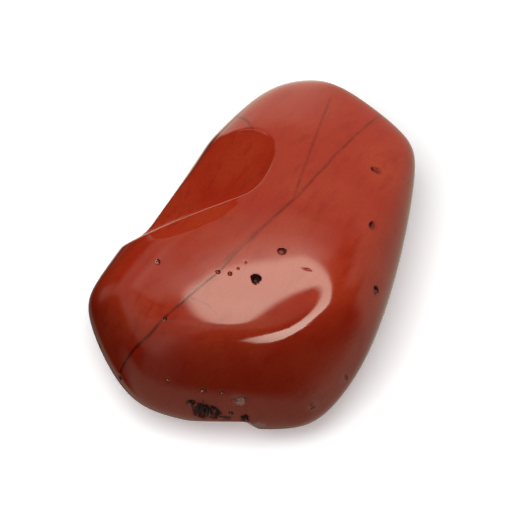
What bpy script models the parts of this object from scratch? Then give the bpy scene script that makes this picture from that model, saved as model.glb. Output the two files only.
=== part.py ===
"""Red jasper: one tumbled stone, with a worn scoop, a chipped edge, pits and a rough hole in its side.

Units are metres with +Z up. The stone lies on its small worn flat at z = 0, its longest way runs
along X, and the middle of its outline is over the origin. The constants below are in millimetres.

A tumbler wears a broken piece of rock into gently crowned facets that run into one another. The
stone is worked out in the same way: its surface is where the smoothed overlap of those facets
ends, and the points of a finely cut cube are moved out to it from a point inside the stone.
"""
import math

import bmesh
import bpy
import numpy as np
from mathutils import Matrix, Vector

MM = 0.001
FLAT = 1000.0                 # crown radius of a facet that is as good as flat

# The point inside the stone from which every part of its surface can be seen
HEART = (-1.1, 1.7, 6.8)
REACH = 30.0                  # further from the heart than any point of the surface
HALVINGS = 40                 # steps that close in on the surface along one line
NUDGE = 0.01                  # step over which the surface's slope is measured

# Cuts of the starting cube along X, Y and Z, and the proportions that it is drawn out to
CUTS = (28, 20, 11)
PROPORTIONS = (18.0, 13.0, 7.5)

# Each facet: the middle of its crown (x, y, z), the way it faces (azimuth and elevation in
# degrees), and the radii of its crown along its level line and across it
HEAD = (
    ((9.6, 11.6, 8.6), (82, 22), (360, 11)),
    ((13.0, 11.0, 9.5), (55, 30), (36, 14)),
    ((16.8, 8.9, 9.8), (27, 30), (36, 14)),
    ((17.3, 1.6, 9.2), (351, 23), (81, 8)),
    ((16.4, -5.6, 7.7), (323, 11), (27, 5)),
)
RIGHT_SIDE = (
    ((8.4, -8.4, 6.8), (294, -10), (81, 5)),
    ((-0.6, -11.9, 5.9), (288, -18), (81, 10)),
    ((-7.2, -12.9, 4.8), (266, -15), (45, 11)),
)
FOOT = (
    ((-14.6, -8.9, 4.3), (211, -41), (45, 12)),
    ((-18.9, 3.6, 5.2), (156, -18), (27, 12)),
    ((-14.9, 11.2, 6.4), (143, 5), (22, 9)),
    ((-14.1, -8.2, 7.3), (214, 2), (45, 20)),
    ((-13.0, -6.7, 9.7), (213, 32), (54, 20)),
    ((-8.2, -9.6, 10.9), (247, 33), (45, 37)),
)
LEFT_SIDE = (
    ((-2.4, 12.4, 7.6), (92, 16), (270, 11)),
)
TOP_AND_UNDERSIDE = (
    ((-1.7, 0.5, 14.0), (37, 86), (63, 47)),
    ((-1.4, 2.0, -0.2), (305, -90), (54, 45)),
)
ROUNDING = 0.63               # how far two facets run into each other

# The scoop between head and lobe: a trough with its axis turned out of the level line, the neck
# that it opens through, the lobe's shoulder that stands in front of it, and the shoulder's slope
TROUGH = ((2.5, 7.3, 10.2), (120, 64), (-6, 135), 45)
NECK = ((-0.5, 11.6, 7.0), (94, 15), (-180, 11))
SHOULDER = ((-3.5, 7.4, 12.6), (60, 26), (100, FLAT))
SLOPE = ((-2.9, 5.4, 13.5), (70, 62.5), (-30, FLAT), 63)
TROUGH_ROUNDING = 0.7
SHOULDER_ROUNDING = 0.9
SLOPE_ROUNDING = 0.2
SCOOP_RIM_ROUNDING = 0.14

# The piece that broke off the foot: its face, and the step that ends it
CHIP_FACE = ((-16.1, -3.4, 4.4), (215, -32), (FLAT, FLAT))
CHIP_STEP = ((-13.9, -7.5, 4.1), (182, -22), (FLAT, FLAT))
CHIP_ROUNDING = 0.27
CHIP_RIM_ROUNDING = 0.11

RESTING_FLAT_ROUNDING = 0.09

# Each pit: its place, length, width and depth, and its turn from the level line in degrees
PITS = {
    "pit_dark": ((-6.0, -1.8, 14.1), 0.95, 0.85, 0.45, 0),
    "pit_brow": ((-2.4, -2.1, 14.1), 0.90, 0.60, 0.25, 35),
    "pit_lobe": ((-9.3, 6.6, 13.3), 0.60, 0.45, 0.20, 35),
    "pit_crack_end": ((-13.6, 2.8, 13.0), 0.60, 0.45, 0.20, 55),
    "pit_head": ((10.3, -3.5, 12.0), 0.95, 0.50, 0.25, 20),
    "pit_side_high": ((5.0, -6.8, 12.9), 0.75, 0.45, 0.25, -20),
    "pit_side_low": ((0.5, -10.3, 11.1), 0.85, 0.60, 0.30, 75),
    "hole_deep": ((-16.4, -3.2, 6.6), 1.50, 2.10, 1.10, 0),
    "hole_deep_right": ((-15.9, -4.1, 6.5), 1.30, 1.60, 0.90, 0),
    "hole_upper": ((-16.7, -2.2, 7.4), 0.80, 0.80, 0.50, 0),
    "hole_nook": ((-14.5, -6.6, 6.5), 0.80, 1.10, 0.50, 0),
    "hole_ledge": ((-14.4, -5.7, 8.1), 1.60, 0.70, 0.25, 10),
}
CUTTER_FINENESS = 2           # subdivisions of the ball that cuts a pit

BEND = 26.0                   # a face that turns more than this many degrees is cut up
REFINEMENTS = 2               # times that such faces are looked for
RIM_PASSES = 3                # times that the vertices beside a rim are drawn to it
ON_RIM = 0.05                 # a vertex with a smaller gap than this is on the rim

JASPER_RED = (0.36, 0.055, 0.03, 1.0)
POLISH = 0.09                 # roughness of the tumbled surface
SHARP_ANGLE = 35.0            # edges that turn more than this many degrees stay sharp


def clear_scene():
    for thing in list(bpy.data.objects):
        bpy.data.objects.remove(thing, do_unlink=True)


def facing(azimuth, elevation):
    """Unit vector that points to an azimuth and elevation in degrees."""
    turn, rise = math.radians(azimuth), math.radians(elevation)
    return np.array([math.cos(rise) * math.cos(turn), math.cos(rise) * math.sin(turn), math.sin(rise)])


def facet_height(points, place, faces, crown, spin=0):
    """Height of the points over one crowned facet; a negative radius makes it hollow."""
    normal = facing(*faces)
    turn = math.radians(faces[0])
    level = np.array([-math.sin(turn), math.cos(turn), 0.0])
    slope = np.cross(normal, level)
    spin = math.radians(spin)
    along = math.cos(spin) * level + math.sin(spin) * slope
    across = math.cos(spin) * slope - math.sin(spin) * level
    offset = points - np.array(place)
    bulge = (offset @ along) ** 2 / (2 * crown[0]) + (offset @ across) ** 2 / (2 * crown[1])
    return offset @ normal + bulge


def overlap_all(heights, rounding):
    """Smoothed overlap of many facets."""
    heights = np.stack(heights)
    highest = heights.max(axis=0)
    return highest + rounding * np.log(np.exp((heights - highest) / rounding).sum(axis=0))


def overlap(one, other, rounding):
    """Smoothed overlap of two shapes, with nothing rounded away from their shared edge."""
    share = np.clip(0.5 + 0.5 * (one - other) / rounding, 0, 1)
    return other + (one - other) * share + rounding * share * (1 - share)


def union(one, other, rounding):
    return -overlap(-one, -other, rounding)


def worn_body(points):
    """Height over the tumbled stone before the scoop and the chip are taken from it."""
    facets = HEAD + RIGHT_SIDE + FOOT + LEFT_SIDE + TOP_AND_UNDERSIDE
    body = overlap_all([facet_height(points, *facet) for facet in facets], ROUNDING)
    return overlap(body, facet_height(points, *SLOPE), SLOPE_ROUNDING)


def scoop(points):
    trough = overlap(facet_height(points, *TROUGH), facet_height(points, *NECK), TROUGH_ROUNDING)
    return union(trough, facet_height(points, *SHOULDER), SHOULDER_ROUNDING)


def chip(points):
    return union(facet_height(points, *CHIP_FACE), facet_height(points, *CHIP_STEP), CHIP_ROUNDING)


def height_over_stone(points):
    """Negative inside the stone, zero on its surface."""
    body = overlap(worn_body(points), scoop(points), SCOOP_RIM_ROUNDING)
    body = overlap(body, chip(points), CHIP_RIM_ROUNDING)
    return overlap(body, -points[:, 2], RESTING_FLAT_ROUNDING)


def on_surface(directions):
    """Points of the surface seen from the heart along the unit directions."""
    heart = np.array(HEART)
    near, far = np.zeros(len(directions)), np.full(len(directions), REACH)
    for _ in range(HALVINGS):
        middle = (near + far) / 2
        inside = height_over_stone(heart + directions * middle[:, None]) < 0
        near, far = np.where(inside, middle, near), np.where(inside, far, middle)
    return heart + directions * near[:, None]


def outward(points):
    """Unit normals of the surface at the points, from the rise over a small step each way."""
    nudges = np.eye(3) * NUDGE
    rise = [height_over_stone(points + nudge) - height_over_stone(points - nudge) for nudge in nudges]
    rise = np.stack(rise, axis=1)
    return rise / np.linalg.norm(rise, axis=1)[:, None]


def move_to_surface(bm):
    """Moves each vertex, in millimetres, along its line from the heart to the surface."""
    rays = np.array([vertex.co for vertex in bm.verts], dtype=float) - np.array(HEART)
    rays /= np.linalg.norm(rays, axis=1)[:, None]
    for vertex, place in zip(bm.verts, on_surface(rays)):
        vertex.co = place


def cut_cube():
    """A cube with its sides cut into quads, blown up to an even, drawn-out ball round the heart."""
    bm = bmesh.new()
    bmesh.ops.create_cube(bm, size=2.0)
    for axis, cuts in enumerate(CUTS):
        along_axis = [edge for edge in bm.edges
                      if abs(edge.verts[0].co[axis] - edge.verts[1].co[axis]) > 1.0]
        bmesh.ops.subdivide_edges(bm, edges=along_axis, cuts=cuts - 1, use_grid_fill=True)
    for vertex in bm.verts:
        even = Vector(math.tan(part * math.pi / 4) for part in vertex.co).normalized()
        vertex.co = Vector(HEART) + Vector(a * b for a, b in zip(even, PROPORTIONS))
    return bm


def rim_gaps(bm):
    """How far each vertex is past the scoop's rim and past the chip's rim; zero is on the rim."""
    places = np.array([vertex.co for vertex in bm.verts], dtype=float)
    body, hollow = worn_body(places), scoop(places)
    return places, (hollow - body, chip(places) - np.maximum(body, hollow))


def refine_bends(bm):
    """Cuts the faces across which the surface turns sharply into smaller ones."""
    bm.verts.index_update()
    bm.edges.index_update()
    normals = outward(np.array([vertex.co for vertex in bm.verts], dtype=float))
    bent = set()
    for face in bm.faces:
        corners = normals[[vertex.index for vertex in face.verts]]
        if (corners @ corners.T).min() < math.cos(math.radians(BEND)):
            bent.update(face.edges)
    bent = sorted(bent, key=lambda edge: edge.index)
    bmesh.ops.subdivide_edges(bm, edges=bent, cuts=1, use_grid_fill=True)
    bm.verts.index_update()


def draw_to_rims(bm):
    """Moves the vertices beside a rim onto it, so that the mesh's edges run along the rim."""
    places, gaps = rim_gaps(bm)
    for gap in gaps:
        crossings = {}
        for edge in bm.edges:
            one, other = (vertex.index for vertex in edge.verts)
            if (gap[one] > 0) != (gap[other] > 0):
                share = gap[one] / (gap[one] - gap[other])
                crossing = places[one] + share * (places[other] - places[one])
                crossings.setdefault(one if share < 0.5 else other, []).append(crossing)
        bm.verts.ensure_lookup_table()
        for index, found in crossings.items():
            bm.verts[index].co = np.mean(found, axis=0)


def split_along_rims(bm):
    """Splits each quad that a rim crosses from corner to corner along that diagonal."""
    gaps = rim_gaps(bm)[1]
    for gap in gaps:
        for face in [face for face in bm.faces if len(face.verts) == 4]:
            corners = list(face.verts)
            on_rim = [abs(gap[vertex.index]) < ON_RIM for vertex in corners]
            if on_rim in ([True, False, True, False], [False, True, False, True]):
                first = on_rim.index(True)
                bmesh.utils.face_split(face, corners[first], corners[first + 2])


def make_material():
    material = bpy.data.materials.new("polished_jasper")
    material.use_nodes = True
    shader = material.node_tree.nodes["Principled BSDF"]
    shader.inputs["Base Color"].default_value = JASPER_RED
    shader.inputs["Roughness"].default_value = POLISH
    shader.inputs["Metallic"].default_value = 0.0
    material.diffuse_color = JASPER_RED
    return material


def make_stone(collection):
    bm = cut_cube()
    move_to_surface(bm)
    for _ in range(REFINEMENTS):
        refine_bends(bm)
        move_to_surface(bm)
    for _ in range(RIM_PASSES):
        draw_to_rims(bm)
        move_to_surface(bm)
    split_along_rims(bm)
    bmesh.ops.triangulate(bm, faces=bm.faces)
    bmesh.ops.recalc_face_normals(bm, faces=bm.faces)
    bmesh.ops.scale(bm, vec=(MM, MM, MM), verts=bm.verts)
    mesh = bpy.data.meshes.new("stone")
    bm.to_mesh(mesh)
    bm.free()
    mesh.shade_smooth()
    mesh.set_sharp_from_angle(angle=math.radians(SHARP_ANGLE))
    mesh.materials.append(make_material())
    stone = bpy.data.objects.new("stone", mesh)
    collection.objects.link(stone)
    return stone


def surface_frame(place):
    """The surface point on the line from the heart through a place, and its frame in the surface."""
    ray = np.array(place) - np.array(HEART)
    ray /= np.linalg.norm(ray)
    point = on_surface(ray[None])[0]
    normal = Vector(outward(point[None])[0])
    level = Vector((0.0, 0.0, 1.0)).cross(normal).normalized()
    uphill = normal.cross(level)
    return Vector(point), Matrix((level, uphill, normal)).transposed()


def make_pit_cutter(name, place, length, width, depth, turn, collection):
    """A flattened ball, sunk in the surface to the pit's depth."""
    bm = bmesh.new()
    bmesh.ops.create_icosphere(bm, subdivisions=CUTTER_FINENESS, radius=1.0)
    point, frame = surface_frame(place)
    bmesh.ops.scale(bm, vec=(length / 2, width / 2, depth), verts=bm.verts)
    bmesh.ops.rotate(bm, matrix=Matrix.Rotation(math.radians(turn), 3, "Z"), verts=bm.verts)
    bmesh.ops.rotate(bm, matrix=frame, verts=bm.verts)
    bmesh.ops.scale(bm, vec=(MM, MM, MM), verts=bm.verts)
    mesh = bpy.data.meshes.new(name)
    bm.to_mesh(mesh)
    bm.free()
    cutter = bpy.data.objects.new(name, mesh)
    cutter.location = point * MM
    cutter.hide_render = True
    cutter.display_type = "WIRE"
    collection.objects.link(cutter)
    return cutter


def cut_pit(stone, cutter):
    cut = stone.modifiers.new(cutter.name, "BOOLEAN")
    cut.operation = "DIFFERENCE"
    cut.solver = "EXACT"
    cut.object = cutter


def main():
    clear_scene()
    parts = bpy.data.collections.new("red_jasper")
    cutters = bpy.data.collections.new("red_jasper_cutters")
    bpy.context.scene.collection.children.link(parts)
    bpy.context.scene.collection.children.link(cutters)
    stone = make_stone(parts)
    for name, (place, length, width, depth, turn) in PITS.items():
        cut_pit(stone, make_pit_cutter(name, place, length, width, depth, turn, cutters))


main()
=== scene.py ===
"""Red jasper: a single tumbled stone, dressed and lit as in a plain studio.

The stone is worked out in millimetres, in the same frame as the solid, and MM turns it to metres.
"""

import math

import bmesh
import bpy
import numpy as np
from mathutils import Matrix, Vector, noise


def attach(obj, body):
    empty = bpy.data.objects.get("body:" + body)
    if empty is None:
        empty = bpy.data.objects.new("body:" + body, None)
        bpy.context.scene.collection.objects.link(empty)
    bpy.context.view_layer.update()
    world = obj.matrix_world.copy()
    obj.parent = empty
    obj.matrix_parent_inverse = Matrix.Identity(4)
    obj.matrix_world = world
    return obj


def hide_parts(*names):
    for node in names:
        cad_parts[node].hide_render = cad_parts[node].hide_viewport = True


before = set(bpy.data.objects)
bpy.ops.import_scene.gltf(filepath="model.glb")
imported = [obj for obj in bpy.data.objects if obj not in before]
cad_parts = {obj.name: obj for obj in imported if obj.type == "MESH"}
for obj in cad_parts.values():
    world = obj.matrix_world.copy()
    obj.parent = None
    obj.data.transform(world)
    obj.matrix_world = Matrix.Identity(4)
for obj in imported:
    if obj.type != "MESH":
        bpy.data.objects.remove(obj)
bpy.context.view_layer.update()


# The tumbled stone
# One lump of red jasper, an opaque red quartz rock, broken out and tumbled with ever finer grit to a
# gloss. Its worn facets run into one another round a scoop, a chipped foot, open pits and a rough hole.
MM = 0.001
FLAT = 1000.0                 # crown radius of a facet that is as good as flat

# Each facet: the middle of its crown, the way it faces (azimuth and elevation in degrees), the
# radii of its crown along its level line and across it, and the angle, if any, that turns them
HEAD = (
    ((9.6, 11.6, 8.6), (82, 22), (360, 11)),
    ((13.0, 11.0, 9.5), (55, 30), (36, 14)),
    ((16.8, 8.9, 9.8), (27, 30), (36, 14)),
    ((17.3, 1.6, 9.2), (351, 23), (81, 8)),
    ((16.4, -5.6, 7.7), (323, 11), (27, 5)),
)
RIGHT_SIDE = (
    ((8.4, -8.4, 6.8), (294, -10), (81, 5)),
    ((-0.6, -11.9, 5.9), (288, -18), (81, 10)),
    ((-7.2, -12.9, 4.8), (266, -15), (45, 11)),
)
FOOT = (
    ((-14.6, -8.9, 4.3), (211, -41), (45, 12)),
    ((-18.9, 3.6, 5.2), (156, -18), (27, 12)),
    ((-14.9, 11.2, 6.4), (143, 5), (22, 9)),
    ((-14.1, -8.2, 7.3), (214, 2), (45, 20)),
    ((-13.0, -6.7, 9.7), (213, 32), (54, 20)),
    ((-8.2, -9.6, 10.9), (247, 33), (45, 37)),
)
LEFT_SIDE = (
    ((-2.4, 12.4, 7.6), (92, 16), (270, 11)),
)
TOP_AND_UNDERSIDE = (
    ((-1.7, 0.5, 14.0), (37, 86), (63, 47)),
    ((-1.4, 2.0, -0.2), (305, -90), (54, 45)),
)
FACET_ROUNDING = 0.63         # how far two facets run into each other

# The scoop between head and lobe: a trough, the neck that it opens through, the lobe's shoulder
# that stands in front of it, and the slope below that shoulder
TROUGH = ((2.5, 7.3, 10.2), (120, 64), (-6, 135), 45)
NECK = ((-0.5, 11.6, 7.0), (94, 15), (-180, 11))
SHOULDER = ((-3.5, 7.4, 12.6), (60, 26), (100, FLAT))
SLOPE = ((-2.9, 5.4, 13.5), (70, 62.5), (-30, FLAT), 63)
TROUGH_ROUNDING = 0.7
SHOULDER_ROUNDING = 0.9
SLOPE_ROUNDING = 0.2
SCOOP_RIM_ROUNDING = 0.14

# The piece that broke off the foot: its face, and the step that ends it
CHIP_FACE = ((-16.1, -3.4, 4.4), (215, -32), (FLAT, FLAT))
CHIP_STEP = ((-13.9, -7.5, 4.1), (182, -22), (FLAT, FLAT))
CHIP_ROUNDING = 0.27
CHIP_RIM_ROUNDING = 0.11

RESTING_FLAT_ROUNDING = 0.09

# Each open pit: its place, length, width and depth, its turn from the level line in degrees, and
# how dark its painted shade is inside
PITS = (
    ((-6.0, -1.8, 14.1), 0.95, 0.88, 0.80, 0, 1.0),
    ((-2.4, -2.1, 14.1), 0.86, 0.74, 0.40, 35, 0.62),
    ((-9.3, 6.6, 13.3), 0.66, 0.50, 0.24, 35, 0.55),
    ((-13.6, 2.8, 13.0), 0.45, 0.35, 0.20, 55, 0.6),
    ((10.3, -3.5, 12.0), 1.00, 0.60, 0.50, 8, 0.95),
    ((5.0, -6.8, 12.9), 0.80, 0.58, 0.45, -5, 0.90),
    ((0.5, -10.3, 11.1), 0.90, 0.72, 0.50, 75, 0.95),
    ((-6.9, 0.4, 14.0), 0.45, 0.40, 0.15, 0, 0.75),
    ((-6.1, 0.1, 14.1), 0.30, 0.22, 0.08, 0, 0.6),
    ((-5.2, -0.1, 14.1), 0.26, 0.20, 0.06, 30, 0.5),
    ((-7.4, 1.4, 14.0), 0.45, 0.35, 0.12, 40, 0.7),
    ((-2.6, -5.0, 14.0), 0.85, 0.24, 0.07, -88, 0.40),
    ((-16.7, 0.2, 9.4), 0.50, 0.42, 0.10, 0, 0.4),
    ((-15.6, -2.8, 8.9), 0.60, 0.50, 0.15, 0, 0.7),
    ((-14.8, -4.3, 8.9), 0.50, 0.45, 0.12, 0, 0.75),
    ((-15.0, -5.4, 6.6), 0.40, 0.50, 0.20, 0, 0.9),
    ((-10.4, -11.0, 6.4), 0.50, 0.45, 0.10, 0, 0.5),
    ((-10.4, -10.8, 6.8), 0.35, 0.30, 0.08, 0, 0.5),
    ((-6.6, -12.0, 7.5), 0.35, 0.80, 0.14, 0, 0.6),
    ((-16.3, 8.1, 6.8), 0.50, 1.20, 0.12, 10, 0.5),
    ((-17.9, 4.7, 6.9), 0.50, 0.80, 0.14, 0, 0.6),
)
# The rough hole in the foot: hollows that run into one another, in the same terms
HOLE = (
    ((-16.4, -3.2, 6.6), 1.50, 2.10, 1.10, 0, 1.0),
    ((-15.9, -4.1, 6.5), 1.30, 1.60, 0.90, 0, 1.0),
    ((-16.7, -2.2, 7.4), 0.80, 0.80, 0.50, 0, 1.0),
    ((-15.5, -5.0, 5.9), 1.30, 0.60, 0.30, 0, 0.8),
    ((-14.3, -6.4, 6.0), 0.85, 1.05, 0.50, 0, 1.0),
    ((-14.2, -5.7, 8.2), 1.60, 0.70, 0.22, 10, 0.35),
)
PIT_RIM_ROUNDING = 0.03
PIT_REACH = 2.2               # a pit changes the stone within this many times its largest half size
HEART = np.array((-1.1, 1.7, 6.8))    # every part of the surface can be seen from here
REACH = 30.0                  # further from the heart than any point of the surface
HALVINGS = 26                 # steps that close in on the surface along one line
NUDGE = 0.004                 # step over which the surface's slope is measured
SKIN = 0.01                   # the surface is drawn in this far, to stay inside the solid's box


def facing(azimuth, elevation):
    """Unit vector that points to an azimuth and elevation in degrees."""
    turn, rise = math.radians(azimuth), math.radians(elevation)
    return np.array([math.cos(rise) * math.cos(turn), math.cos(rise) * math.sin(turn), math.sin(rise)])


def facet_height(points, place, faces, crown, spin=0):
    """Height of the points over one crowned facet; a negative radius makes it hollow."""
    normal = facing(*faces)
    turn = math.radians(faces[0])
    level = np.array([-math.sin(turn), math.cos(turn), 0.0])
    slope = np.cross(normal, level)
    spin = math.radians(spin)
    along = math.cos(spin) * level + math.sin(spin) * slope
    across = math.cos(spin) * slope - math.sin(spin) * level
    offset = points - np.array(place)
    bulge = (offset @ along) ** 2 / (2 * crown[0]) + (offset @ across) ** 2 / (2 * crown[1])
    return offset @ normal + bulge


def overlap_all(heights, rounding):
    """Smoothed overlap of many facets."""
    heights = np.stack(heights)
    highest = heights.max(axis=0)
    return highest + rounding * np.log(np.exp((heights - highest) / rounding).sum(axis=0))


def overlap(one, other, rounding):
    """Smoothed overlap of two shapes."""
    share = np.clip(0.5 + 0.5 * (one - other) / rounding, 0, 1)
    return other + (one - other) * share + rounding * share * (1 - share)


def union(one, other, rounding):
    return -overlap(-one, -other, rounding)


def worn_body(points):
    """Height over the tumbled stone before the scoop and the chip are taken from it."""
    facets = HEAD + RIGHT_SIDE + FOOT + LEFT_SIDE + TOP_AND_UNDERSIDE
    body = overlap_all([facet_height(points, *facet) for facet in facets], FACET_ROUNDING)
    return overlap(body, facet_height(points, *SLOPE), SLOPE_ROUNDING)


def scoop(points):
    trough = overlap(facet_height(points, *TROUGH), facet_height(points, *NECK), TROUGH_ROUNDING)
    return union(trough, facet_height(points, *SHOULDER), SHOULDER_ROUNDING)


def chip(points):
    return union(facet_height(points, *CHIP_FACE), facet_height(points, *CHIP_STEP), CHIP_ROUNDING)


def height_over_worn_stone(points):
    """Negative inside the stone, zero on its surface, with no pits in it yet."""
    body = overlap(worn_body(points), scoop(points), SCOOP_RIM_ROUNDING)
    body = overlap(body, chip(points), CHIP_RIM_ROUNDING)
    return overlap(body, -points[:, 2], RESTING_FLAT_ROUNDING) + SKIN


# How fast each wave of the ripple runs along X, Y and Z (radians to a millimetre), and its start
WAVES = (
    ((9, 4, 0), 1.3),
    ((-5, 0, 8), 0.4),
    ((0, 7, -9), 2.1),
    ((15, -11, 13), 0.0),
)


def ripple(points):
    """An uneven waviness between -1 and 1, with waves about half a millimetre long."""
    return sum(np.sin(points @ run + start) for run, start in WAVES) / len(WAVES)


def with_pits(points, height):
    """Takes the pits and the hole out of the stone near the points."""
    height = height.copy()
    for centre, axes, half, unevenness in hollows:
        offset = points - centre
        near = (offset ** 2).sum(axis=1) < (PIT_REACH * half.max()) ** 2
        if near.any():
            steps = np.linalg.norm(offset[near] @ axes / half, axis=1)
            depth = (steps - 1 + unevenness * ripple(points[near])) * half.min()
            height[near] = overlap(height[near], -depth, PIT_RIM_ROUNDING)
    return height


def height_over_stone(points):
    """Negative inside the stone, zero on its surface."""
    return with_pits(points, height_over_worn_stone(points))


def on_surface(directions):
    """Points of the surface seen from the heart along the unit directions."""
    near, far = np.zeros(len(directions)), np.full(len(directions), REACH)
    for _ in range(HALVINGS):
        middle = (near + far) / 2
        inside = height_over_stone(HEART + directions * middle[:, None]) < 0
        near, far = np.where(inside, middle, near), np.where(inside, far, middle)
    return HEART + directions * near[:, None]


def outward(points):
    """Unit normals of the surface, from the rise over a small step each way."""
    nudges = np.eye(3) * NUDGE
    rise = [height_over_stone(points + nudge) - height_over_stone(points - nudge) for nudge in nudges]
    rise = np.stack(rise, axis=1)
    return rise / np.linalg.norm(rise, axis=1)[:, None]


def sunk(place, length, width, depth, turn, unevenness):
    """The flattened ball that a pit is hollowed out with, sunk in the surface to its depth."""
    ray = np.array(place) - HEART
    centre = on_surface((ray / np.linalg.norm(ray))[None])
    normal = outward(centre)[0]
    level = np.cross((0.0, 0.0, 1.0), normal)
    level /= np.linalg.norm(level)
    uphill = np.cross(normal, level)
    turn = math.radians(turn)
    along = math.cos(turn) * level + math.sin(turn) * uphill
    across = math.cos(turn) * uphill - math.sin(turn) * level
    axes = np.stack((along, across, normal), axis=1)
    return centre[0], axes, np.array((length / 2, width / 2, depth)), unevenness


# The list is empty while the balls are placed, because they are sunk in the stone without pits
PIT_UNEVENNESS, HOLE_UNEVENNESS = 0.14, 0.4
hollows = []
pit_balls = [sunk(*pit[:5], PIT_UNEVENNESS) for pit in PITS]
hole_balls = [sunk(*hollow[:5], HOLE_UNEVENNESS) for hollow in HOLE]
hollows = pit_balls + hole_balls

# Cuts of the starting cube along X, Y and Z, and the proportions that it is drawn out to
CUTS = (132, 98, 54)
PROPORTIONS = (18.0, 13.0, 7.5)
BEND = 9.0                    # a face that turns more than this many degrees is cut up
REFINEMENTS = 1               # times that such faces are looked for
HOLLOW_REFINEMENTS = 2        # times that the faces in and beside the hollows are cut up
HOLLOW_MARGIN = 1.1           # they reach this many half sizes from a hollow's middle,
HOLLOW_BORDER = 0.06          # and this far beyond that


def vertex_places(bm):
    return np.array([vertex.co for vertex in bm.verts], dtype=float)


def move_to_surface(bm):
    """Moves each vertex along its line from the heart to the surface."""
    rays = vertex_places(bm) - HEART
    rays /= np.linalg.norm(rays, axis=1)[:, None]
    for vertex, place in zip(bm.verts, on_surface(rays)):
        vertex.co = place


def cut_cube():
    """A cube with its sides cut into quads, blown up to an even, drawn-out ball round the heart."""
    bm = bmesh.new()
    bmesh.ops.create_cube(bm, size=2.0)
    for axis, cuts in enumerate(CUTS):
        along_axis = [edge for edge in bm.edges
                      if abs(edge.verts[0].co[axis] - edge.verts[1].co[axis]) > 1.0]
        bmesh.ops.subdivide_edges(bm, edges=along_axis, cuts=cuts - 1, use_grid_fill=True)
    for vertex in bm.verts:
        even = Vector(math.tan(part * math.pi / 4) for part in vertex.co).normalized()
        vertex.co = Vector(HEART) + Vector(a * b for a, b in zip(even, PROPORTIONS))
    return bm


def refine(bm, faces):
    edges = {edge for face in faces for edge in face.edges}
    edges = sorted(edges, key=lambda edge: edge.index)
    bmesh.ops.subdivide_edges(bm, edges=edges, cuts=1, use_grid_fill=True)
    bm.verts.index_update()
    bm.edges.index_update()


def bent_faces(bm):
    """The faces across which the surface turns sharply."""
    bm.verts.index_update()
    bm.edges.index_update()
    normals = outward(vertex_places(bm))
    limit = math.cos(math.radians(BEND))
    bent = []
    for face in bm.faces:
        corners = normals[[vertex.index for vertex in face.verts]]
        if (corners @ corners.T).min() < limit:
            bent.append(face)
    return bent


def faces_by_hollows(bm):
    """The faces in and beside a pit or the hole."""
    middles = np.array([face.calc_center_median() for face in bm.faces])
    near = np.zeros(len(middles), dtype=bool)
    for centre, axes, half, _ in hollows:
        offset = (middles - centre) @ axes / (half * HOLLOW_MARGIN + HOLLOW_BORDER)
        near |= (offset ** 2).sum(axis=1) < 1
    return [face for face, is_near in zip(bm.faces, near) if is_near]


stone_cage = cut_cube()
move_to_surface(stone_cage)
for _ in range(REFINEMENTS):
    refine(stone_cage, bent_faces(stone_cage))
    move_to_surface(stone_cage)
for _ in range(HOLLOW_REFINEMENTS):
    refine(stone_cage, faces_by_hollows(stone_cage))
    move_to_surface(stone_cage)
bmesh.ops.triangulate(stone_cage, faces=[face for face in stone_cage.faces if len(face.verts) > 4])
bmesh.ops.recalc_face_normals(stone_cage, faces=stone_cage.faces)

# How deep each vertex lies under the worn surface, the painted shade of the hollow round it (darker
# the deeper it lies), and whether it is in the rough hole; a reach is in half sizes of the hollow, from
# its middle
FULLY_SUNK = 0.16             # a vertex this far under the worn surface gets the hollow's full painted shade
SHADE_REACH, SHADE_FADE = 1.35, 0.25          # where a hollow's own painted shade ends, and its soft edge
PIT_RIM_DARKENING, PIT_RIM_DARKENING_REACH = 0.35, 1.5        # the weaker darkening round its rim, and where that ends
stone_places = vertex_places(stone_cage)
stone_normals = outward(stone_places)
depth = np.clip(-height_over_worn_stone(stone_places) / FULLY_SUNK, 0, 1)
hollow_shade, hole_share = np.zeros(len(stone_places)), np.zeros(len(stone_places))
for number, ((centre, axes, half, _), (*_, darkness)) in enumerate(zip(hollows, PITS + HOLE)):
    steps = np.linalg.norm((stone_places - centre) @ axes / half, axis=1)
    inside = np.clip((SHADE_REACH - steps) / SHADE_FADE, 0, 1)
    hollow_shade = np.maximum(hollow_shade, inside * darkness * depth)
    rim_darkening = np.clip((PIT_RIM_DARKENING_REACH - steps) / (PIT_RIM_DARKENING_REACH - 1), 0, 1)
    hollow_shade = np.maximum(hollow_shade, rim_darkening * darkness * PIT_RIM_DARKENING)
    if number >= len(PITS):
        hole_share = np.maximum(hole_share, inside)

# The broken rock in the hole crumbles: layers of crumbs, each finer and lower than the one before
CRUMB_SIZE, CRUMB_HEIGHT = 0.28, 0.09
CRUMB_LAYERS, CRUMB_FINER, CRUMB_LOWER = 3, 2.0, 1.0
LEAST_CRUMBS = 0.02           # a vertex with a smaller share of them stays smooth
stone_cage.verts.ensure_lookup_table()
crumb_share = hole_share * depth
crumbly = np.nonzero(crumb_share > LEAST_CRUMBS)[0]
for index in crumbly:
    place = Vector(stone_places[index])
    crumbs = noise.fractal(place / CRUMB_SIZE, CRUMB_LOWER, CRUMB_FINER, CRUMB_LAYERS)
    rise = crumbs * CRUMB_HEIGHT * crumb_share[index]
    stone_cage.verts[index].co = place + Vector(stone_normals[index]) * rise
stone_cage.normal_update()
for index in crumbly:
    stone_normals[index] = stone_cage.verts[index].normal

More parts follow.
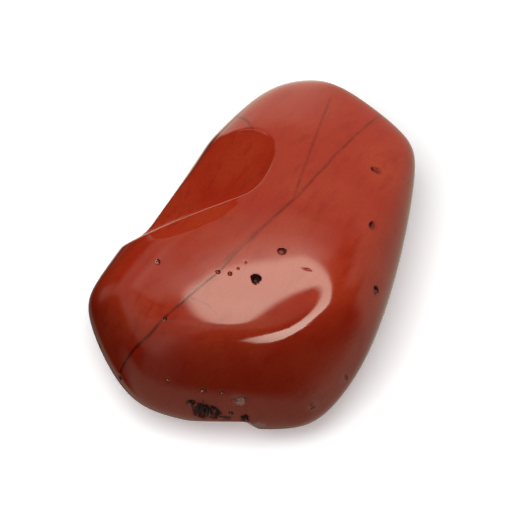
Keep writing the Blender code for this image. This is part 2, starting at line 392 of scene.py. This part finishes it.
bmesh.ops.scale(stone_cage, vec=(MM, MM, MM), verts=stone_cage.verts)
stone_mesh = bpy.data.meshes.new("jasper")
stone_cage.to_mesh(stone_mesh)
stone_cage.free()
stone_mesh.attributes.new("hollow", "FLOAT", "POINT").data.foreach_set("value", hollow_shade)
stone_mesh.attributes.new("hole", "FLOAT", "POINT").data.foreach_set("value", crumb_share)
stone_mesh.shade_smooth()
stone_mesh.normals_split_custom_set_from_vertices([tuple(normal) for normal in stone_normals])
stone = bpy.data.objects.new("jasper", stone_mesh)
bpy.context.scene.collection.objects.link(stone)


class Looks:
    """Builds a material's nodes: each call adds one node and gives its output back."""

    def __init__(self, material):
        material.use_nodes = True
        self.nodes, self.links = material.node_tree.nodes, material.node_tree.links

    def put(self, socket, value):
        if isinstance(value, bpy.types.NodeSocket):
            self.links.new(value, socket)
        else:
            socket.default_value = value

    def math(self, operation, *values):
        node = self.nodes.new("ShaderNodeMath")
        node.operation = operation
        for socket, value in zip(node.inputs, values):
            self.put(socket, value)
        return node.outputs[0]

    def vector(self, operation, one, other):
        node = self.nodes.new("ShaderNodeVectorMath")
        node.operation = operation
        self.put(node.inputs[0], one)
        self.put(node.inputs["Scale"] if operation == "SCALE" else node.inputs[1], other)
        return node.outputs["Value" if operation in ("DOT_PRODUCT", "DISTANCE") else "Vector"]

    def noise(self, places, scale, detail, roughness):
        node = self.nodes.new("ShaderNodeTexNoise")
        self.links.new(places, node.inputs["Vector"])
        node.inputs["Scale"].default_value = scale
        node.inputs["Detail"].default_value = detail
        node.inputs["Roughness"].default_value = roughness
        return node.outputs["Fac"]

    def between(self, value, low, high, out_low=0.0, out_high=1.0):
        node = self.nodes.new("ShaderNodeMapRange")
        node.interpolation_type = "SMOOTHSTEP"
        for socket, part in zip(node.inputs, (value, low, high, out_low, out_high)):
            self.put(socket, part)
        return node.outputs[0]

    def blend(self, share, one, other):
        node = self.nodes.new("ShaderNodeMix")
        node.data_type = "RGBA"               # its colours are sockets 6 and 7, and output 2
        self.put(node.inputs[0], share)
        self.put(node.inputs[6], one)
        self.put(node.inputs[7], other)
        return node.outputs[2]

    def attribute(self, name):
        node = self.nodes.new("ShaderNodeAttribute")
        node.attribute_name = name
        return node.outputs["Fac"]


# The healed cracks, seen from above: each runs from one point to another (x and y in millimetres),
# with its half width, its darkness, and how far its ends fade
CRACKS = (
    ((17.5, 0.4), (3.0, 0.2), 0.14, 0.55, 1.0),
    ((3.2, 0.25), (-7.6, 1.5), 0.14, 0.65, 0.6),
    ((-1.6, 1.0), (-7.0, 1.75), 0.10, 0.40, 1.4),
    ((-7.2, 1.4), (-15.6, 3.35), 0.13, 0.95, 0.8),
    ((-15.2, 3.25), (-18.6, 5.1), 0.12, 0.95, 0.6),
    ((2.8, 0.3), (15.6, 5.0), 0.13, 0.48, 1.2),
    ((-10.8, 2.1), (-10.45, 0.3), 0.09, 0.60, 0.4),
    ((-10.45, 0.5), (-10.8, -0.8), 0.08, 0.45, 0.6),
    ((9.0, 10.9), (8.4, 9.1), 0.14, 0.80, 0.4),
    ((8.45, 9.3), (7.8, 8.2), 0.14, 0.80, 0.4),
)
CRACK_WANDER = 0.07           # millimetres to each side
CRACK_GROOVE = 0.002          # how far its filling is worn down below the polish, in millimetres

# Broken skin that shows paler, and in the hole's patch a painted glint: its middle, its radius, and how
# much of its colour comes through
PALE_SPOTS = (
    ((-14.2, -5.9, 7.9), 0.42, 0.90),
    ((-14.2, -5.5, 8.1), 0.75, 0.22),
    ((-13.9, -7.6, 4.8), 0.65, 0.85),
    ((-10.3, -11.0, 6.5), 0.70, 0.16),
    ((-6.8, -12.0, 7.5), 0.60, 0.14),
)

# The patches in the stone: how many there are to a millimetre, how many layers of finer ones lie
# on them, and how strong each layer is beside the one before it
CLOUDS = (0.16, 4.0, 0.55)
STREAKS = (0.7, 5.0, 0.6)
STREAK_STRETCH = (0.5, 1.6, 1.2)              # draws the streaks out along X
GRAINS = (5.0, 2.0, 0.5)
CRACK_BENDS = (0.45, 3.0, 0.5)
CRACK_PATCHES = (1.1, 2.0, 0.5)
HOLE_CRUMBS = (2.6, 4.0, 0.7)

# Between which values of its patches each look comes in, and how much of it there is
ORANGE_RANGE = (0.38, 0.66)
STREAK_RANGE, STREAK_SHARE = (0.50, 0.72), 0.55
GRAIN_RANGE, GRAIN_SHARE = (0.35, 0.75), 0.30
CRACK_RANGE, CRACK_LEAST_SHARE = (0.30, 0.60), 0.45
CRUMB_RANGE = (0.45, 0.75)
CRACK_EDGE = (0.3, 1.7)       # half widths from its middle between which a crack fades
PALE_EDGE = (0.4, 1.1)        # radii from its middle between which a pale spot fades
PALE_RAGGEDNESS = 0.5         # how far the crumbs bend that edge, in radii

BRICK_RED = (0.455, 0.030, 0.0100, 1.0)
DEEP_RED = (0.350, 0.017, 0.0060, 1.0)
ORANGE_RED = (0.490, 0.046, 0.0150, 1.0)
CRACK_BROWN = (0.140, 0.008, 0.002, 1.0)
# the painted shade inside the pits and the hole
PIT_SHADE_BROWN = (0.048, 0.004, 0.002, 1.0)
HOLE_GREY = (0.070, 0.036, 0.026, 1.0)
PALE_PINK = (0.520, 0.270, 0.200, 1.0)
POLISH = 0.07                 # roughness of the tumbled surface
PIT_ROUGHNESS, HOLE_ROUGHNESS = 0.45, 0.75
CRACK_DULLNESS = 0.2          # share of a pit's roughness that a dark crack has
QUARTZ_IOR = 1.54


def polished_jasper():
    material = bpy.data.materials.new("polished_jasper")
    looks = Looks(material)
    shader = looks.nodes["Principled BSDF"]
    texture_places = looks.nodes.new("ShaderNodeTexCoord").outputs["Object"]
    places = looks.vector("SCALE", texture_places, 1 / MM)

    # Clouds and streaks of deeper and more orange red, from patches down to single grains
    clouds = looks.noise(places, *CLOUDS)
    streaks = looks.noise(looks.vector("MULTIPLY", places, STREAK_STRETCH), *STREAKS)
    grains = looks.noise(places, *GRAINS)
    red = looks.blend(looks.between(clouds, *ORANGE_RANGE), BRICK_RED, ORANGE_RED)
    red = looks.blend(looks.between(streaks, *STREAK_RANGE, 0.0, STREAK_SHARE), red, DEEP_RED)
    red = looks.blend(looks.between(grains, *GRAIN_RANGE, 0.0, GRAIN_SHARE), red, DEEP_RED)

    # The cracks; their noise keeps within a quarter to each side of its middle value
    bends = looks.math("SUBTRACT", looks.noise(places, *CRACK_BENDS), 0.5)
    wander = looks.math("MULTIPLY", bends, 4 * CRACK_WANDER)
    patches = looks.noise(places, *CRACK_PATCHES)
    patchy = looks.between(patches, *CRACK_RANGE, CRACK_LEAST_SHARE, 1.0)
    cracked = 0.0
    for start, end, half_width, darkness, fade in CRACKS:
        run = np.subtract(end, start)
        length = float(np.hypot(*run))
        along, across = run / length, np.array((-run[1], run[0])) / length
        position = looks.math("SUBTRACT", looks.vector("DOT_PRODUCT", places, (*along, 0.0)),
                              float(along @ start))
        side = looks.math("SUBTRACT", looks.vector("DOT_PRODUCT", places, (*across, 0.0)),
                          float(across @ start))
        aside = looks.math("ABSOLUTE", looks.math("ADD", side, wander))
        inner, outer = (half_width * edge for edge in CRACK_EDGE)
        line = looks.between(aside, inner, outer, darkness, 0.0)
        begun = looks.between(position, -fade / 2, fade / 2)
        not_ended = looks.between(position, length - fade / 2, length + fade / 2, 1.0, 0.0)
        line = looks.math("MULTIPLY", looks.math("MULTIPLY", line, begun), not_ended)
        cracked = looks.math("MAXIMUM", cracked, line)
    cracked = looks.math("MULTIPLY", cracked, patchy)
    red = looks.blend(cracked, red, CRACK_BROWN)

    # The pits and the rough hole, darkened with painted shade the deeper they go, and the hole's broken
    # rock
    hollow, hole = looks.attribute("hollow"), looks.attribute("hole")
    crumbs = looks.between(looks.noise(places, *HOLE_CRUMBS), *CRUMB_RANGE)
    broken = looks.blend(crumbs, PIT_SHADE_BROWN, HOLE_GREY)
    red = looks.blend(hollow, red, looks.blend(hole, PIT_SHADE_BROWN, broken))
    ragged = looks.math("MULTIPLY", looks.math("SUBTRACT", crumbs, 0.5), PALE_RAGGEDNESS)
    # pale broken skin, with a painted glint in the patch in the hole
    pale_skin_and_glint = 0.0
    for middle, radius, share in PALE_SPOTS:
        away = looks.math("DIVIDE", looks.vector("DISTANCE", places, middle), radius)
        away = looks.math("ADD", away, ragged)
        spot = looks.between(away, *PALE_EDGE, share, 0.0)
        pale_skin_and_glint = looks.math("MAXIMUM", pale_skin_and_glint, spot)
    red = looks.blend(pale_skin_and_glint, red, PALE_PINK)
    looks.put(shader.inputs["Base Color"], red)

    # Dull where the polish didn't reach, and the cracks' filling a little below it
    dull = looks.math("MAXIMUM", hollow, looks.math("MULTIPLY", cracked, CRACK_DULLNESS))
    roughness = looks.between(dull, 0.0, 1.0, POLISH, PIT_ROUGHNESS)
    rough_break = looks.between(looks.math("MAXIMUM", pale_skin_and_glint, hole), 0.0, 1.0, POLISH, HOLE_ROUGHNESS)
    roughness = looks.math("MAXIMUM", roughness, rough_break)
    looks.put(shader.inputs["Roughness"], roughness)
    groove = looks.nodes.new("ShaderNodeBump")
    groove.inputs["Distance"].default_value = CRACK_GROOVE * MM
    looks.put(groove.inputs["Height"], looks.math("SUBTRACT", 1.0, cracked))
    looks.links.new(groove.outputs["Normal"], shader.inputs["Normal"])
    shader.inputs["IOR"].default_value = QUARTZ_IOR
    return material


stone_mesh.materials.append(polished_jasper())
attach(stone, "root")
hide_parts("stone")


# The studio
# A white paper floor under a large soft lamp behind the stone, with white reflectors round it that
# the polish mirrors. The camera looks down from the photograph's side through a long lens.
PIXEL = 0.09                  # millimetres of the stone across one pixel of the photograph
IMAGE_WIDTH = 512             # pixels
CAMERA_AZIMUTH, CAMERA_ELEVATION = 215, 60
LENS, SENSOR = 600.0, 36.0    # millimetres
AIM_RIGHT, AIM_UP = 0.5, 4.5  # pixels from the stone's heart to the picture's middle
NEAREST_SEEN, FARTHEST_SEEN = 0.01, 100.0     # metres

to_camera = facing(CAMERA_AZIMUTH, CAMERA_ELEVATION)
picture_right = facing(CAMERA_AZIMUTH + 90, 0)
picture_up = facing(CAMERA_AZIMUTH + 180, 90 - CAMERA_ELEVATION)
aim = HEART + PIXEL * (AIM_RIGHT * picture_right + AIM_UP * picture_up)
distance = IMAGE_WIDTH * PIXEL * LENS / SENSOR
camera_data = bpy.data.cameras.new("camera")
camera_data.lens, camera_data.sensor_width = LENS, SENSOR
camera = bpy.data.objects.new("camera", camera_data)
bpy.context.scene.collection.objects.link(camera)
camera.location = Vector(aim + to_camera * distance) * MM
camera.rotation_euler = Vector(to_camera).to_track_quat("Z", "Y").to_euler()
camera_data.clip_start, camera_data.clip_end = NEAREST_SEEN, FARTHEST_SEEN
bpy.context.scene.camera = camera

# Directions in the studio: azimuth 0 is to the camera's right and 90 is away from it
RIGHT_AZIMUTH = CAMERA_AZIMUTH + 90


def studio_direction(azimuth, elevation):
    return facing(RIGHT_AZIMUTH + azimuth, elevation)


def only_seen_by(thing, *kinds):
    for kind in ("camera", "diffuse", "glossy", "transmission", "volume_scatter", "shadow"):
        setattr(thing, "visible_" + kind, kind in kinds)


HALF_FLOOR = 0.6              # metres from its middle to its edge
PAPER_WHITE = (0.9, 0.9, 0.9, 1)
PAPER_GLOW = 0.30             # keeps the paper pale where the lamp falls off
floor_mesh = bpy.data.meshes.new("floor")
floor_shape = bmesh.new()
bmesh.ops.create_grid(floor_shape, x_segments=1, y_segments=1, size=HALF_FLOOR)
floor_shape.to_mesh(floor_mesh)
floor_shape.free()
floor = bpy.data.objects.new("floor", floor_mesh)
bpy.context.scene.collection.objects.link(floor)
paper = bpy.data.materials.new("floor_paper")
paper.use_nodes = True
paper_shader = paper.node_tree.nodes["Principled BSDF"]
paper_shader.inputs["Base Color"].default_value = PAPER_WHITE
paper_shader.inputs["Roughness"].default_value = 1.0
paper_shader.inputs["Specular IOR Level"].default_value = 0.0
paper_shader.inputs["Emission Color"].default_value = (1, 1, 1, 1)
paper_shader.inputs["Emission Strength"].default_value = PAPER_GLOW
floor_mesh.materials.append(paper)
only_seen_by(floor, "camera")

# The lamps: name, azimuth, elevation, distance and width in metres, watts, and what it lights
LAMPS = (
    ("key", 75, 59, 0.5, 0.22, 1.6, stone),
    ("floor_lamp", 248, 73, 0.5, 0.26, 1.85, floor),
)
for name, azimuth, elevation, away, width, watts, lit in LAMPS:
    lamp_data = bpy.data.lights.new(name, "AREA")
    lamp_data.size, lamp_data.energy = width, watts
    lamp = bpy.data.objects.new(name, lamp_data)
    bpy.context.scene.collection.objects.link(lamp)
    lamp.location = Vector(studio_direction(azimuth, elevation)) * away
    lamp.rotation_euler = Vector(lamp.location).to_track_quat("Z", "Y").to_euler()
    lamp.visible_glossy = False
    lamp.light_linking.receiver_collection = bpy.data.collections.new("lit_by_" + name)
    lamp.light_linking.receiver_collection.objects.link(lit)

# The reflectors, as the polish mirrors them: name, azimuths, elevations, softness of their upright
# and of their level edges in degrees, and brightness
REFLECTORS = (
    ("wall behind", (8, 160), (15, 49), 6, 8, 0.43),
    ("wall to the right", (-8, 98), (-80, 15), 9, 8, 0.46),
    ("paper behind", (84, 98), (-60, 19), 5, 5, 0.55),
    ("paper behind to the left", (98, 115), (-36, 13), 5, 5, 0.95),
    ("paper beside it", (115, 120), (-10, 8), 3, 5, 0.9),
    ("paper below it", (98, 108), (-58, -36), 4, 5, 0.7),
    ("reflector to the left", (116, 143), (41, 66), 5, 5, 0.60),
    ("left corner, low", (140, 158), (-20, 15), 6, 8, 0.28),
    ("left wall", (160, 188), (23, 49), 6, 7, 0.42),
    ("left wall, high", (144, 190), (49, 68), 8, 8, 0.15),
    ("left wall nearer", (188, 242), (18, 78), 7, 8, 0.34),
    ("front corner", (226, 250), (-9, 50), 8, 8, 0.15),
    ("floor far to the left", (110, 160), (-88, -47), 8, 6, 0.13),
    ("floor in front", (202, 352), (-88, -8), 14, 6, 0.35),
    ("floor to the left", (158, 202), (-88, -54), 14, 7, 0.32),
    ("floor to the right", (306, 352), (-88, 0), 10, 6, 0.18),
    ("ceiling", (-200, 200), (72, 108), 5, 5, 0.38),
)
REFLECTOR_WHITE = (1.08, 1.0, 0.81, 1)
TENT_RADIUS = 0.9             # metres
TENT_CUTS = 180               # round it, and half as many up it


def window(angle, middle, half, softness):
    """One inside a range of angles, zero outside it, with a soft edge."""
    beyond = np.abs((angle - middle + 180) % 360 - 180) - half
    share = np.clip(0.5 - beyond / (2 * softness), 0, 1)      # half way down at the range's end
    return share * share * (3 - 2 * share)


tent_shape = bmesh.new()
bmesh.ops.create_uvsphere(tent_shape, u_segments=TENT_CUTS, v_segments=TENT_CUTS // 2,
                         radius=TENT_RADIUS)
ways = np.array([vertex.co for vertex in tent_shape.verts]) / TENT_RADIUS
azimuths = np.degrees(np.arctan2(ways[:, 1], ways[:, 0])) - RIGHT_AZIMUTH
elevations = np.degrees(np.arcsin(np.clip(ways[:, 2], -1, 1)))
glow = np.zeros(len(ways))
for _, (first, last), (low, high), upright_softness, level_softness, brightness in REFLECTORS:
    sideways = window(azimuths, (first + last) / 2, (last - first) / 2, upright_softness)
    upward = window(elevations, (low + high) / 2, (high - low) / 2, level_softness)
    glow += brightness * sideways * upward
tent_mesh = bpy.data.meshes.new("reflectors")
tent_shape.to_mesh(tent_mesh)
tent_shape.free()
tent_mesh.attributes.new("glow", "FLOAT", "POINT").data.foreach_set("value", glow)
tent = bpy.data.objects.new("reflectors", tent_mesh)
bpy.context.scene.collection.objects.link(tent)
only_seen_by(tent, "glossy")


def glowing(name, colour, strength, see_through):
    """A white reflector or lamp, as bright as its glow."""
    material = bpy.data.materials.new(name)
    looks = Looks(material)
    looks.nodes.remove(looks.nodes["Principled BSDF"])
    shine = looks.nodes.new("ShaderNodeEmission")
    shine.inputs["Color"].default_value = colour
    looks.put(shine.inputs["Strength"], looks.math("MULTIPLY", looks.attribute("glow"), strength))
    surface = shine.outputs[0]
    if see_through:
        clear = looks.nodes.new("ShaderNodeBsdfTransparent")
        both = looks.nodes.new("ShaderNodeAddShader")
        looks.links.new(surface, both.inputs[0])
        looks.links.new(clear.outputs[0], both.inputs[1])
        surface = both.outputs[0]
    looks.links.new(surface, looks.nodes["Material Output"].inputs["Surface"])
    return material


tent_mesh.materials.append(glowing("reflector_white", REFLECTOR_WHITE, 1.0, False))

# A small black flag hung over the scoop, which keeps it free of reflections: where its middle is
# (millimetres to the right, away and up), the azimuth and elevation it faces, and its outline
# (millimetres to the near side along it, and up its slope)
FLAG_PLACE, FLAG_FACES = (-11.8, 7.1, 16.0), (180, 40)
FLAG_OUTLINE = (
    (-39, -25), (-36.5, -22.5), (-33.5, -20.8), (-31, -20), (-29, -18), (-26.8, -16.5), (-25, -15),
    (-22.5, -13), (-18, -11.3), (-17, -10), (-14, -9.2), (-11, -8.2), (-8.5, -7.3), (-4, -5.5),
    (-3.5, -7.5), (-5.5, -7.5), (-6, -9.5), (-5, -11), (-2.5, -10.5), (3, -2.5), (-2, 7),
    (-6.5, 8.3), (-8, 9), (-9.5, 6.3), (-11.5, 5.8), (-13.5, 7.8), (-17.3, 8.5), (-20, 7.5),
    (-17.5, 6), (-16.5, 3.5), (-17.5, 1.7), (-18.5, -1), (-19, -3.5), (-20.5, -3.5), (-23, -6),
    (-24, -9), (-26, -10), (-28, -12), (-30.5, -13.5), (-30, -15.8), (-33.5, -15.5), (-35, -19),
    (-37.5, -19.5), (-38.5, -22),
)
FELT_BLACK = (0.001, 0.001, 0.001, 1)
flag_mesh = bpy.data.meshes.new("black_flag")
to_right, to_away = studio_direction(0, 0), studio_direction(90, 0)
flag_middle = FLAG_PLACE[0] * to_right + FLAG_PLACE[1] * to_away + (0, 0, FLAG_PLACE[2])
flag_level = studio_direction(FLAG_FACES[0] + 90, 0)
flag_slope = np.cross(studio_direction(*FLAG_FACES), flag_level)
flag_corners = [Vector(flag_middle + along * flag_level + across * flag_slope) * MM
                for along, across in FLAG_OUTLINE]
flag_mesh.from_pydata(flag_corners, [], [range(len(flag_corners))])
felt = bpy.data.materials.new("black_felt")
felt.use_nodes = True
felt_shader = felt.node_tree.nodes["Principled BSDF"]
felt_shader.inputs["Base Color"].default_value = FELT_BLACK
felt_shader.inputs["Roughness"].default_value = 1.0
felt_shader.inputs["Specular IOR Level"].default_value = 0.0
flag_mesh.materials.append(felt)
flag = bpy.data.objects.new("black_flag", flag_mesh)
bpy.context.scene.collection.objects.link(flag)
only_seen_by(flag, "glossy")

# The bent soft lamp that makes the large highlight: points round its edge (millimetres to the
# right and away), how wide that edge is, how bright it is inside it, and the share of that in the
# halo beyond it and how far the halo reaches
LAMP_HEIGHT = 300             # millimetres
LAMP_WHITE, LAMP_BRIGHTNESS = (1.12, 0.98, 0.80, 1), 5.2
LAMP_EDGE = (
    (-68, 106, 14, 1.0, 0.10, 60), (-62, 121, 14, 1.0, 0.20, 80), (-44, 142, 14, 1.0, 0.34, 110),
    (-18, 152, 14, 1.0, 0.40, 130), (10, 158, 14, 1.0, 0.42, 130), (38, 168, 12, 1.0, 0.40, 110),
    (48, 160, 10, 1.0, 0.26, 70), (60, 146, 9, 1.0, 0.08, 40), (78, 122, 8, 1.0, 0.02, 20),
    (114, 74, 8, 1.05, 0.02, 20), (144, 27, 8, 1.15, 0.02, 20), (178, -32, 9, 1.3, 0.02, 20),
    (186, -80, 9, 1.4, 0.02, 20), (186, -134, 9, 1.5, 0.02, 20), (192, -211, 11, 1.5, 0.02, 20),
    (166, -255, 11, 1.4, 0.02, 20), (132, -295, 12, 1.3, 0.02, 20), (82, -310, 16, 1.1, 0.04, 30),
    (26, -298, 20, 0.9, 0.04, 30), (-12, -251, 20, 0.7, 0.02, 20), (4, -214, 12, 0.9, 0.02, 20),
    (34, -188, 10, 1.3, 0.02, 20), (70, -170, 10, 1.5, 0.02, 20), (106, -148, 9, 1.5, 0.02, 20),
    (124, -104, 9, 1.3, 0.02, 20), (126, -55, 9, 1.15, 0.02, 20), (118, -2, 10, 1.05, 0.02, 20),
    (105, 44, 12, 1.0, 0.02, 20), (92, 76, 13, 1.0, 0.03, 20), (74, 101, 15, 1.0, 0.04, 24),
    (58, 107, 16, 1.0, 0.05, 24), (42, 104, 16, 1.0, 0.05, 24), (28, 96, 16, 1.0, 0.05, 24),
    (16, 82, 16, 1.0, 0.05, 24), (5, 58, 14, 1.0, 0.04, 20), (-4, 22, 12, 1.0, 0.03, 20),
    (-11, -12, 10, 0.95, 0.03, 20), (-18, -35, 9, 0.9, 0.03, 20), (-31, -43, 9, 0.9, 0.03, 20),
    (-44, -42, 10, 0.85, 0.03, 20), (-52, -26, 12, 0.85, 0.03, 20), (-59, 16, 13, 0.9, 0.03, 20),
    (-63, 58, 13, 0.95, 0.03, 25), (-66, 85, 13, 1.0, 0.05, 40),
)
HALO_STEP, HALO_FALL = 0.4, 1 / 3             # at this share of its reach the halo is down to this share
lamp_edge = np.array(LAMP_EDGE, dtype=float)
edge_points = lamp_edge[:, :2]
edge_width, brightness, halo, reach = lamp_edge[:, 2:].T
edge_run = np.roll(edge_points, -1, axis=0) - np.roll(edge_points, 1, axis=0)
edge_out = np.stack((-edge_run[:, 1], edge_run[:, 0]), axis=1)
edge_out /= np.linalg.norm(edge_out, axis=1)[:, None]
rings = (
    (edge_width * 0, brightness),
    (edge_width, brightness * halo),
    (edge_width + reach * HALO_STEP, brightness * halo * HALO_FALL),
    (edge_width + reach, brightness * 0),
)
lamp_shape = bmesh.new()
ring_verts = []
for steps_out, _ in rings:
    ring_points = [x * to_right + y * to_away + (0, 0, LAMP_HEIGHT)
                   for x, y in edge_points + edge_out * steps_out[:, None]]
    ring_verts.append([lamp_shape.verts.new(Vector(point) * MM) for point in ring_points])
lamp_shape.faces.new(ring_verts[0])
for inner, outer in zip(ring_verts, ring_verts[1:]):
    for number in range(len(inner)):
        after = (number + 1) % len(inner)
        lamp_shape.faces.new((inner[number], inner[after], outer[after], outer[number]))
bmesh.ops.triangulate(lamp_shape, faces=lamp_shape.faces)
soft_mesh = bpy.data.meshes.new("soft_lamp")
lamp_shape.to_mesh(soft_mesh)
lamp_shape.free()
lamp_glow = np.concatenate([ring_glow for _, ring_glow in rings])
soft_mesh.attributes.new("glow", "FLOAT", "POINT").data.foreach_set("value", lamp_glow)
soft_mesh.materials.append(glowing("lamp_white", LAMP_WHITE, LAMP_BRIGHTNESS, True))
soft_lamp = bpy.data.objects.new("soft_lamp", soft_mesh)
bpy.context.scene.collection.objects.link(soft_lamp)
only_seen_by(soft_lamp, "glossy")

STUDIO_LIGHT = 0.24           # strength of the even light from all round
world = bpy.data.worlds.new("studio")
world.use_nodes = True
world.node_tree.nodes["Background"].inputs["Color"].default_value = (1, 1, 1, 1)
world.node_tree.nodes["Background"].inputs["Strength"].default_value = STUDIO_LIGHT
bpy.context.scene.world = world
bpy.context.scene.view_settings.view_transform = "Standard"
